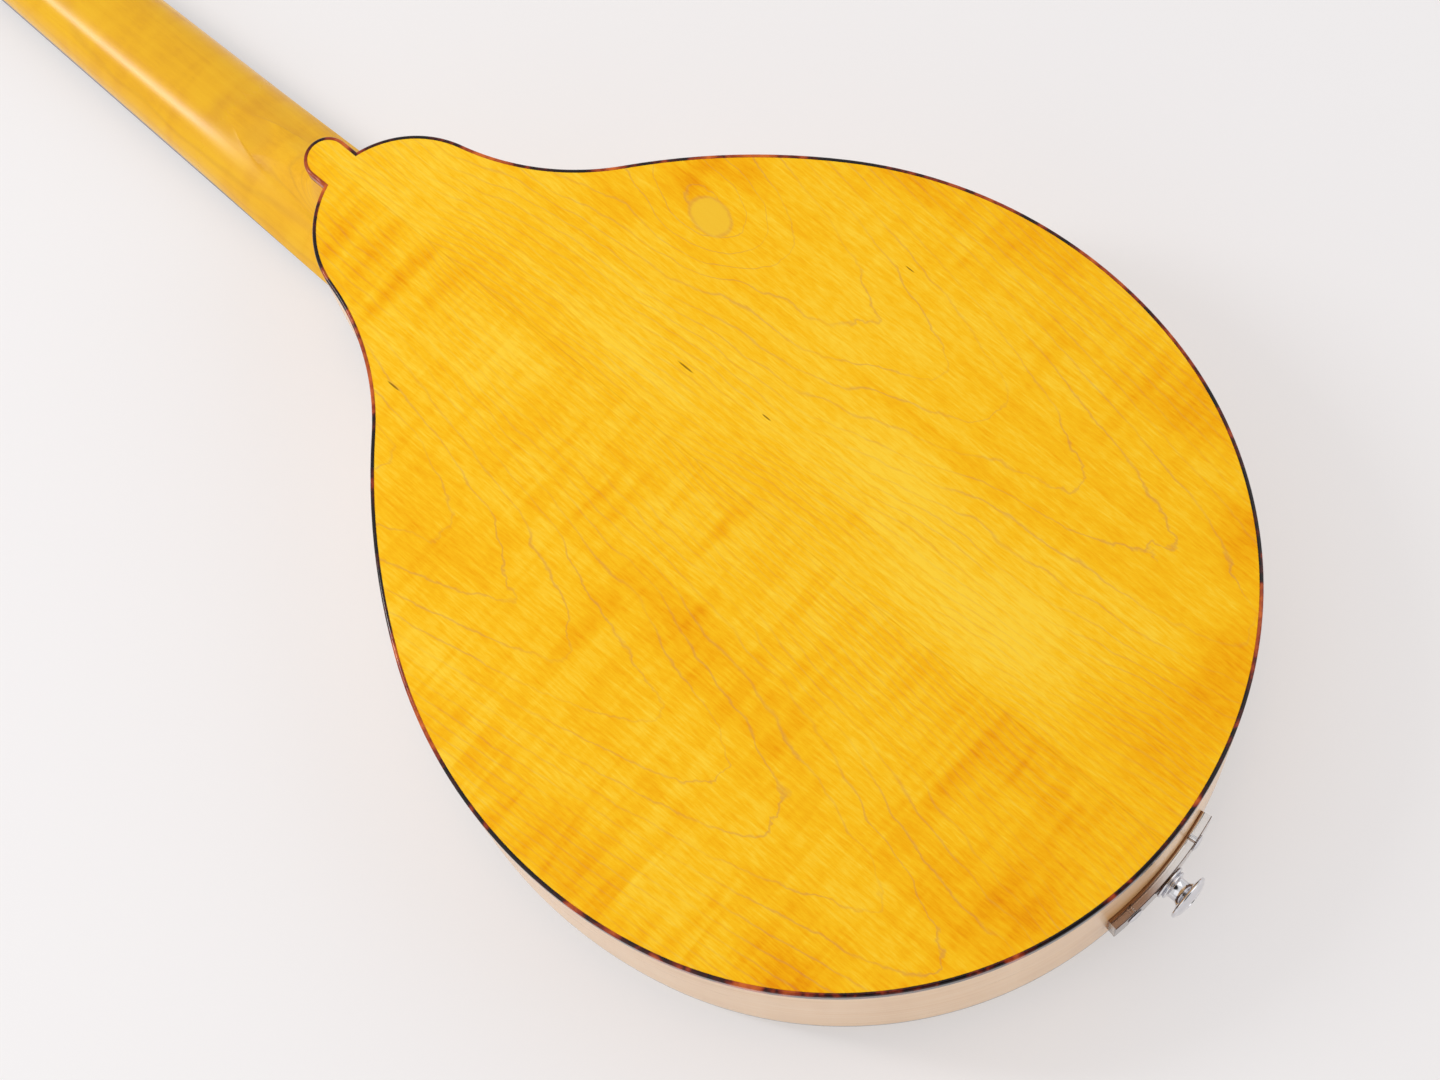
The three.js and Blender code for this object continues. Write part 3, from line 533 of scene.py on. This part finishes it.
LOOKS = {
    "back_maple": back_maple(),
    "neck_maple": neck_maple(),
    "side_maple": side_maple(),
    "tortoiseshell": tortoiseshell(),
    "black_binding": black_plastic(),
    "spruce": plain_wood("spruce", srgb(233, 208, 158), srgb(203, 164, 106), 1, rings=700),
    "plain_wood": plain_wood("plain_wood", srgb(214, 184, 136), srgb(178, 140, 92), 1, gloss=0.7),
    "dark_wood": plain_wood(
        "dark_wood", srgb(104, 62, 36), srgb(48, 26, 15), 1, gloss=0.38, rings=420, coat=0.3),
    "shim_wood": plain_wood("shim_wood", srgb(150, 92, 36), srgb(96, 50, 16), 0, gloss=0.4),
    "ebony": plain_wood("ebony", srgb(58, 42, 35), srgb(19, 14, 13), 0, fine=900, gloss=0.32, coat=0.3),
    "bone": bone(),
    "chrome": chrome(),
    "clear_acrylic": clear_acrylic(),
    "plain_string": plain_string(),
    "wound_string": wound_string(),
}


def dress_cad_nodes():
    """Gives each CAD node that still shows the look of its record slot, and softens its edges."""
    slots = {row["node"]: row["material_slot"] for row in frame["record"]["subparts"]}
    for node, piece in frame["nodes"].items():
        if piece.hide_render:
            continue
        for slot in piece.material_slots:
            slot.material = LOOKS[slots[node]]
        bevel = piece.modifiers.new("soft_edges", "BEVEL")
        bevel.width = 0.5 * MM
        bevel.segments = 2
        bevel.limit_method = "ANGLE"
        bevel.angle_limit = math.radians(50)
        bevel.use_clamp_overlap = True


# ------------------------------------------------------------------ the body


def make_back():
    edge = 0.15 * MM
    glue_line = 0.02 * MM
    inset = BINDING_WIDTH + glue_line
    rings = [
        at_level(back_outline(inset), PLATE_Z),
        at_level(back_outline(inset), BACK_Z - edge),
        at_level(back_outline(inset + edge), BACK_Z),
    ]
    make("fine_back", rings, LOOKS["back_maple"], ["back_plate"])


def binding_rings(outline, low, high, rounded_top):
    """A binding's section carried round an outline; the outer edge away from the plate is rounded."""
    rounding = 1.1 * MM
    steps = 6
    start, end = (high, low) if rounded_top else (low, high)
    sign = -1 if rounded_top else 1
    rings = [at_level(outline(0), end)]
    for i in range(steps + 1):
        angle = math.pi / 2 * i / steps
        inset = rounding * (1 - math.cos(angle))
        level = start + sign * rounding * (1 - math.sin(angle))
        rings.append(at_level(outline(inset), level))
    rings.append(at_level(outline(BINDING_WIDTH), start))
    rings.append(at_level(outline(BINDING_WIDTH), end))
    return rings


def make_bindings():
    for node, slot, outline, low, high, rounded_top in (
        ("back_binding", "tortoiseshell", back_outline, BACK_BINDING_Z, BACK_Z, True),
        ("front_binding", "black_binding", body_outline, FRONT_Z, FRONT_BINDING_TOP_Z, False),
    ):
        rings = binding_rings(outline, low, high, rounded_top)
        make("fine_" + node, rings, LOOKS[slot], [node], closed=True)


def make_sides():
    low, high = FRONT_BINDING_TOP_Z, BACK_BINDING_Z
    for name, sign in (("side_bass", 1), ("side_treble", -1)):
        outer, inner = bass_edge(0), bass_edge(SIDE_THICKNESS)
        rings = []
        for (xo, yo), (xi, yi) in zip(outer, inner):
            corners = [(xo, yo, low), (xo, yo, high), (xi, yi, high), (xi, yi, low)]
            rings.append([(sign * x, y + TAIL_Y, z) for x, y, z in corners])
        make("fine_" + name, rings, LOOKS["side_maple"], [name])


# ------------------------------------------------------------------ the neck

NECK_START_Y = 440 * MM
NECK_HALF = (28.5 * MM, 23 * MM)
NECK_DEPTH = (24 * MM, 20 * MM)
HEEL_FOOT = 15 * MM
COVE_FULLNESS = 2.6
NECK_FULLNESS = 2.3
HEEL_BLEND = 4
HEEL_HEIGHT = PLATE_Z - FRONT_Z
PEGBOX_ANGLE = math.radians(50)
NECK_LENGTH_FROM_TAB = 239.5 * MM
# The end of the neck, where its rings lean over to meet the pegbox.
NECK_LEAN_LENGTH = 16 * MM


def along_neck(y, pair):
    share = (y - TAB_CENTRE_Y) / NECK_LENGTH_FROM_TAB
    return pair[0] + (pair[1] - pair[0]) * share


def superellipse(share):
    return (1 - share**COVE_FULLNESS) ** (1 / COVE_FULLNESS)


def heel_height(y):
    left = min(1.0, max(0.0, 1 - (y - HEEL_TIP_Y) / HEEL_COVE))
    depth = along_neck(y, NECK_DEPTH)
    return depth + (HEEL_HEIGHT - depth) * (1 - superellipse(left))


def heel_tip(z):
    share = min(1.0, max(0.0, (z - NECK_DEPTH[0]) / (HEEL_HEIGHT - NECK_DEPTH[0])))
    return HEEL_TIP_Y + HEEL_COVE * (1 - superellipse(1 - share))


def neck_reach(y, z):
    """Half the neck's width at a place along it and a height over the fingerboard's joint."""
    flare = (1 + math.cos(math.pi * z / HEEL_HEIGHT)) / 2
    tongue = TAB_RADIUS + (HEEL_FOOT - TAB_RADIUS) * flare
    outwards = max(0.0, y - TAB_CENTRE_Y) / (heel_tip(z) - TAB_CENTRE_Y)
    heel = tongue * math.sqrt(max(0.0, 1 - outwards**2))
    depth = along_neck(y, NECK_DEPTH)
    arch = max(0.0, 1 - (z / depth) ** NECK_FULLNESS) ** (1 / NECK_FULLNESS)
    plain = along_neck(y, NECK_HALF) * arch
    return (heel**HEEL_BLEND + plain**HEEL_BLEND) ** (1 / HEEL_BLEND)


def neck_stations():
    """Places along the neck: on the tab, down the heel's curve, and evenly to the nut."""
    tab = [NECK_START_Y + (TAB_CENTRE_Y - NECK_START_Y) * i / 6 for i in range(6)]
    tab += [TAB_CENTRE_Y + TAB_RADIUS * math.sin(math.pi / 2 * i / 12) for i in range(12)]
    cove = [HEEL_TIP_Y + HEEL_COVE * (1 - math.cos(math.pi / 2 * i / 40)) for i in range(40)]
    start = HEEL_TIP_Y + HEEL_COVE
    end = NECK_END_Y - TAIL_Y - NECK_LEAN_LENGTH
    plain = [start + (end - start) * i / 30 for i in range(31)]
    return tab + cove + plain


def make_neck():
    half_steps = 40
    angles = [math.pi * i / (2 * half_steps) for i in range(2 * half_steps + 1)]
    top = BACK_BINDING_Z - FRONT_Z
    rings = []
    for y in neck_stations():
        ring = []
        for angle in angles:
            z = math.sin(angle) * heel_height(y)
            side = math.cos(angle)
            reach = 0.0 if abs(side) < 1e-6 else math.copysign(neck_reach(y, z), side)
            ring.append(Vector((reach, y + TAIL_Y, FRONT_Z + min(z, top))))
        rings.append(ring)
    # The last rings lean over to the plane where the pegbox starts.
    last = rings[-1]
    lean = math.tan(PEGBOX_ANGLE / 2)
    end = [Vector((p.x, NECK_END_Y - (p.z - FRONT_Z) * lean, p.z)) for p in last]
    steps = 6
    for i in range(1, steps + 1):
        rings.append([p.lerp(e, i / steps) for p, e in zip(last, end)])
    make("fine_neck", rings, LOOKS["neck_maple"], ["neck"])


# ------------------------------------------------------------------ the strings and pegs

PEGBOX_START = Matrix.Translation((0, NECK_END_Y, FRONT_Z)) @ Matrix.Rotation(PEGBOX_ANGLE, 4, "X")
COURSE_SPACING = 6.35
PAIR_HALF_GAP = 1.35
SPREAD_AT_BRIDGE = 2.3
SPREAD_AT_PEGS = 0.72
STRING_Z = 2.6 * MM
STRING_RADII = [0.6, 0.5, 0.5, 0.45, 0.45, 0.4, 0.4, 0.4, 0.4, 0.35, 0.35]
PEG_OF_STRING = [0, 2, 4, 6, 8, 10, 9, 7, 5, 3, 1]
WOUND_COUNT = 5
PEG_THICK = 3.7
PEG_THIN = 3.2
PEG_CLEARANCE = 0.3
WINDING_SUNK = 0.15


def string_places():
    """Across the nut, from the bass side, in millimetres: one single string, then five pairs."""
    middle = 2.6 * COURSE_SPACING
    places = [middle]
    for course in range(1, 6):
        centre = middle - course * COURSE_SPACING
        places += [centre + PAIR_HALF_GAP, centre - PAIR_HALF_GAP]
    return places


def wire(name, points, radius, material, body, replaces=()):
    """A round wire through points."""
    curve = bpy.data.curves.new(name, "CURVE")
    curve.dimensions = "3D"
    curve.bevel_depth = radius
    curve.bevel_resolution = 3
    curve.use_fill_caps = True
    spline = curve.splines.new("POLY")
    spline.points.add(len(points) - 1)
    for point, place in zip(spline.points, points):
        point.co = (*place, 1)
    curve.materials.append(material)
    piece = bpy.data.objects.new(name, curve)
    bpy.context.scene.collection.objects.link(piece)
    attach(piece, body)
    if replaces:
        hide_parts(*replaces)
    return piece


def peg_centre(index):
    """A peg's joint as (position, side of its head)."""
    joint = next(j for j in frame["joints"] if j["child"] == f"peg_{index + 1}")
    return Vector(joint["pos_m"]), math.copysign(1, joint["axis"][0])


def make_strings():
    towards_open = PEGBOX_START.to_3x3() @ Vector((0, 0, -1))
    bridge_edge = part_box("bridge")[1].y
    for index, place in enumerate(string_places()):
        name = f"string_{index + 1}"
        slot = "wound_string" if index < WOUND_COUNT else "plain_string"
        radius = STRING_RADII[index] * MM
        centre, _ = peg_centre(PEG_OF_STRING[index])
        x = place * MM
        rise = (PEG_THICK + PEG_CLEARANCE) * MM + radius
        over_peg = Vector((x * SPREAD_AT_PEGS, centre.y, centre.z)) + towards_open * rise
        points = [
            (x * SPREAD_AT_BRIDGE, bridge_edge + 0.3 * MM, STRING_Z),
            (x, NUT_LOW.y, STRING_Z),
            (x, NUT_HIGH.y - 1.5 * MM, STRING_Z),
            (x, NUT_HIGH.y + 0.5 * MM, STRING_Z + 0.6 * MM),
            over_peg,
        ]
        wire("fine_" + name, points, radius, LOOKS[slot], BODY, [name])
        make_winding(index, x * SPREAD_AT_PEGS, radius, slot)


def make_winding(index, x, radius, slot):
    """The turns of a string round its peg, which turn with the peg."""
    peg = PEG_OF_STRING[index]
    centre, _ = peg_centre(peg)
    turns, steps = 3, 20
    reach = (PEG_THICK - WINDING_SUNK) * MM + radius
    pitch = 2.1 * radius
    points = []
    for i in range(turns * steps + 1):
        angle = 2 * math.pi * i / steps
        along = x + pitch * (i / steps - turns / 2)
        points.append((along, centre.y + reach * math.sin(angle), centre.z + reach * math.cos(angle)))
    wire(f"winding_{index + 1}", points, radius, LOOKS[slot], f"peg_{peg + 1}")


PEG_HEAD_START = 9
PEG_HEAD_LENGTH = 24
PEG_HEAD_RADIUS = 11
PEG_HEAD_FLATNESS = 0.3
PIP_RADIUS = 2.2 * MM
PIP_SUNK = 1.2 * MM


def peg_profile(half):
    """A peg from tip to head, in millimetres, for a pegbox of that half width: a taper through both
    cheeks, a bead, a slim neck, and an egg that is pressed flat later."""
    profile = [(-half - 1.5, 0.01), (-half - 1.5, PEG_THIN - 0.4), (-half - 1.1, PEG_THIN)]
    profile += [(-half + 5.5, PEG_THIN), (half - 5.5, PEG_THICK), (half + 2, PEG_THICK)]
    profile += arc(half + 3.6, 3.9, 1.5, 180, 0)
    profile += [(half + 5.6, 3.3), (half + 7, 3.0), (half + 8.2, 3.1)]
    start = half + PEG_HEAD_START
    steps = 28
    egg = 0.8
    for i in range(2, steps):
        share = i / steps
        radius = PEG_HEAD_RADIUS * math.sin(math.pi * share**egg)
        profile.append((start + PEG_HEAD_LENGTH * share, radius))
    profile.append((start + PEG_HEAD_LENGTH, 0.01))
    return profile


def make_pegs():
    for index in range(len(PEG_OF_STRING)):
        node = f"peg_{index + 1}"
        centre, side = peg_centre(index)
        low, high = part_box(node)
        reach = max(abs(low.x), abs(high.x)) / MM
        half = reach - PEG_HEAD_START - PEG_HEAD_LENGTH
        rings = turned_rings([(along * MM, radius * MM) for along, radius in peg_profile(half)], 40)
        start = (half + PEG_HEAD_START) * MM
        for ring in rings:
            for point in ring:
                share = min(1.0, max(0.0, (point.x - start + 4 * MM) / (12 * MM)))
                flattening = share * share * (3 - 2 * share)
                point.z *= 1 + (PEG_HEAD_FLATNESS - 1) * flattening
        tilt = Matrix.Rotation(PEGBOX_ANGLE, 4, "X")
        turn = Matrix.Rotation(0 if side > 0 else math.pi, 4, "Z")
        where = Matrix.Translation(centre) @ tilt @ turn
        make("fine_" + node, placed(rings, where), LOOKS["ebony"], [node], body=node, sharp=50)
        turns = [math.pi - math.pi * i / 12 for i in range(13)]
        bead = [(PIP_RADIUS * math.cos(a), PIP_RADIUS * math.sin(a)) for a in turns]
        tip = where @ Matrix.Translation((reach * MM - PIP_SUNK, 0, 0))
        make(f"pip_{index + 1}", placed(turned_rings(bead, 20), tip), LOOKS["bone"], body=node)


# ------------------------------------------------------------------ the tail fittings

TAIL_RADIUS = OUTLINE_ARCS[0][0] * MM
SHIM_THICKNESS = 1 * MM
TAIL_PLATE_FACE = 5 * MM
TAIL_PLATE_HALF_LENGTH = 30.5 * MM
TAIL_SCREW_ANGLE = math.radians(6.5)


def bent_strip(name, node, near, far, slot):
    """A strip bent round the tail, with rounded corners to its section."""
    low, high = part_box(node)
    half_angle = TAIL_PLATE_HALF_LENGTH / TAIL_RADIUS
    corner = 0.35 * MM
    steps = 40
    rings = []
    for i in range(steps + 1):
        angle = half_angle * (2 * i / steps - 1)
        section = []
        for radius, level in (
            (near, low.z + corner), (near + corner, low.z),
            (far - corner, low.z), (far, low.z + corner),
            (far, high.z - corner), (far - corner, high.z),
            (near + corner, high.z), (near, high.z - corner),
        ):
            reach = TAIL_RADIUS + radius
            y = TAIL_Y + TAIL_RADIUS - reach * math.cos(angle)
            section.append(Vector((reach * math.sin(angle), y, level)))
        rings.append(section)
    make(name, rings, LOOKS[slot], [node], sharp=30)


def turned_at_tail(name, node, profile, angle=0.0):
    """A turned chrome piece that stands on the tail plate's face, along a radius of the tail."""
    low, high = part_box("strap_button")
    centre = Vector((0, TAIL_Y + TAIL_RADIUS, (low.z + high.z) / 2))
    outwards = Matrix.Rotation(angle - math.pi / 2, 4, "Z")
    lift = Matrix.Translation((TAIL_RADIUS + TAIL_PLATE_FACE + GAP, 0, 0))
    matrix = Matrix.Translation(centre) @ outwards @ lift
    rings = placed(turned_rings([(a * MM, r * MM) for a, r in profile], 64), matrix)
    make(name, rings, LOOKS["chrome"], [node], sharp=40)


def make_tail():
    bent_strip("fine_tail_shim", "tail_shim", 0.0, SHIM_THICKNESS, "shim_wood")
    # The clear plate is glued to the shim, so their faces touch and the wood shows through.
    glued = SHIM_THICKNESS - 0.05 * MM
    bent_strip("fine_tail_plate", "tail_plate", glued, TAIL_PLATE_FACE, "clear_acrylic")
    # Two stacked flanges, a thick stem, and a head like a mushroom's with a round rim.
    button = [(0, 0.01), (0, 7.4)] + arc(0.8, 7.2, 0.7, 150, 0, 6) + [(1.6, 6.6), (1.8, 6.2)]
    button += arc(2.5, 6.2, 0.7, 180, 0, 8) + [(3.3, 5.6), (3.6, 5.2), (4.2, 5.0), (6.4, 5.0)]
    flare = [math.pi / 2 * i / 12 for i in range(1, 13)]
    button += [(6.4 + 3.2 * math.sin(t), 5.0 + 4.6 * (1 - math.cos(t))) for t in flare]
    button += arc(10.5, 9.7, 0.9, 180, 0, 10) + [(12.1, 8.6), (12.7, 7.0), (13.0, 5.2), (13.0, 4.3)]
    button += [(12.2, 4.0), (11.8, 0.01)]
    turned_at_tail("fine_strap_button", "strap_button", without_repeats(button))
    screw = [(10.5, 0.01), (10.5, 3.2), (11.7, 3.7), (12.2, 3.4), (12.6, 2.6), (12.9, 1.4), (13.0, 0.01)]
    turned_at_tail("fine_strap_screw", "strap_screw", without_repeats(screw))
    for name, side in (("tail_screw_bass", 1), ("tail_screw_treble", -1)):
        dome = [(-4.5, 0.01), (-4.5, 1.5), (0, 1.5), (0, 3.9), (0.2, 4.0)]
        turns = [0.25 + 1.3 * i / 10 for i in range(11)]
        dome += [(1.3 * math.sin(t), 4.0 * math.cos(t)) for t in turns]
        dome += [(1.3, 0.01)]
        turned_at_tail("fine_" + name, name, dome, side * TAIL_SCREW_ANGLE)


def without_repeats(profile):
    """Drops each point of a profile, in millimetres, that lies on the one before it."""
    same_place = 0.02
    kept = [profile[0]]
    for point in profile[1:]:
        if math.dist(point, kept[-1]) > same_place:
            kept.append(point)
    return kept


# ------------------------------------------------------------------ floor, light and camera


def make_floor():
    bpy.ops.mesh.primitive_plane_add(size=12, location=(0, 0, 0))
    floor = bpy.context.object
    floor.name = "floor"
    # A lit sheet, which keeps the shadows on it faint.
    look = Look("floor", emission_color=(1.0, 0.98, 0.985, 1.0), emission_strength=0.45)
    clouds = look.noise(look.stretch((2, 2, 2)), detail=2)
    look.colour(look.ramp(clouds, [(0.3, srgb(175, 173, 173)), (0.7, srgb(173, 171, 172))]))
    look.roughness(0.6)
    floor.data.materials.append(look.material)


def area_light(name, place, target, size, watts, colour=(1, 1, 1)):
    light = bpy.data.lights.new(name, "AREA")
    light.shape = "RECTANGLE"
    light.size, light.size_y = size
    light.energy = watts
    light.color = colour
    lamp = bpy.data.objects.new(name, light)
    bpy.context.scene.collection.objects.link(lamp)
    lamp.location = place
    lamp.rotation_mode = "QUATERNION"
    lamp.rotation_quaternion = (Vector(target) - Vector(place)).to_track_quat("-Z", "Y")


def make_light():
    world = bpy.data.worlds.new("studio")
    world.use_nodes = True
    nodes, links = world.node_tree.nodes, world.node_tree.links
    # The room is bright all round, brightest overhead, and dark where the photographer stands.
    direction = nodes.new("ShaderNodeTexCoord").outputs["Generated"]
    height = nodes.new("ShaderNodeSeparateXYZ")
    links.new(direction, height.inputs[0])
    shade = nodes.new("ShaderNodeValToRGB")
    links.new(height.outputs["Z"], shade.inputs[0])
    shade.color_ramp.elements[0].position = 0.1
    shade.color_ramp.elements[0].color = (0.86, 0.85, 0.845, 1)
    shade.color_ramp.elements[1].position = 0.9
    shade.color_ramp.elements[1].color = (1.0, 0.99, 0.985, 1)
    towards = nodes.new("ShaderNodeVectorMath")
    towards.operation = "DOT_PRODUCT"
    links.new(direction, towards.inputs[0])
    towards.inputs[1].default_value = (-0.17, -0.46, 0.87)
    figure = nodes.new("ShaderNodeMapRange")
    figure.interpolation_type = "SMOOTHSTEP"
    figure.inputs["From Min"].default_value = 0.86
    figure.inputs["From Max"].default_value = 0.94
    links.new(towards.outputs["Value"], figure.inputs["Value"])
    blend = nodes.new("ShaderNodeMix")
    blend.data_type = "RGBA"
    links.new(figure.outputs[0], blend.inputs[0])
    links.new(shade.outputs[0], blend.inputs[6])
    blend.inputs[7].default_value = (0.03, 0.03, 0.03, 1)
    background = nodes["Background"]
    links.new(blend.outputs[2], background.inputs["Color"])
    background.inputs["Strength"].default_value = 0.87
    bpy.context.scene.world = world
    # A soft box beyond the neck on the treble side draws the neck's long highlight.
    area_light("key_box", (-0.81, 1.01, 1.43), (0, 0.05, 0), (0.2, 0.9), 11)
    # A wide window on the treble side makes that side of the floor brighter.
    area_light("window", (-1.7, 0.3, 1.5), (0, 0, 0), (2.0, 2.0), 4)
    # Another beyond the tail on the bass side keeps the shadow there faint.
    area_light("fill", (1.4, -1.1, 1.6), (0.3, -0.2, 0), (1.6, 1.6), 5)


def make_camera():
    camera = bpy.data.cameras.new("camera")
    camera.sensor_width = 36
    camera.lens = 76.25
    holder = bpy.data.objects.new("camera", camera)
    bpy.context.scene.collection.objects.link(holder)
    place = Vector((-0.2339, TAIL_Y - 0.0910, BACK_Z + 1.2051))
    aim = Vector((-0.0198, TAIL_Y + 0.2205, BACK_Z))
    roll = math.radians(-14.75)
    holder.location = place
    holder.rotation_mode = "QUATERNION"
    holder.rotation_quaternion = (aim - place).to_track_quat("-Z", "Y") @ Quaternion((0, 0, 1), roll)
    bpy.context.scene.camera = holder
    bpy.context.scene.view_settings.view_transform = "Standard"


# ------------------------------------------------------------------ the whole picture

make_camera()
make_floor()
make_light()
make_back()
make_bindings()
make_sides()
make_neck()
make_strings()
make_pegs()
make_tail()
dress_cad_nodes()
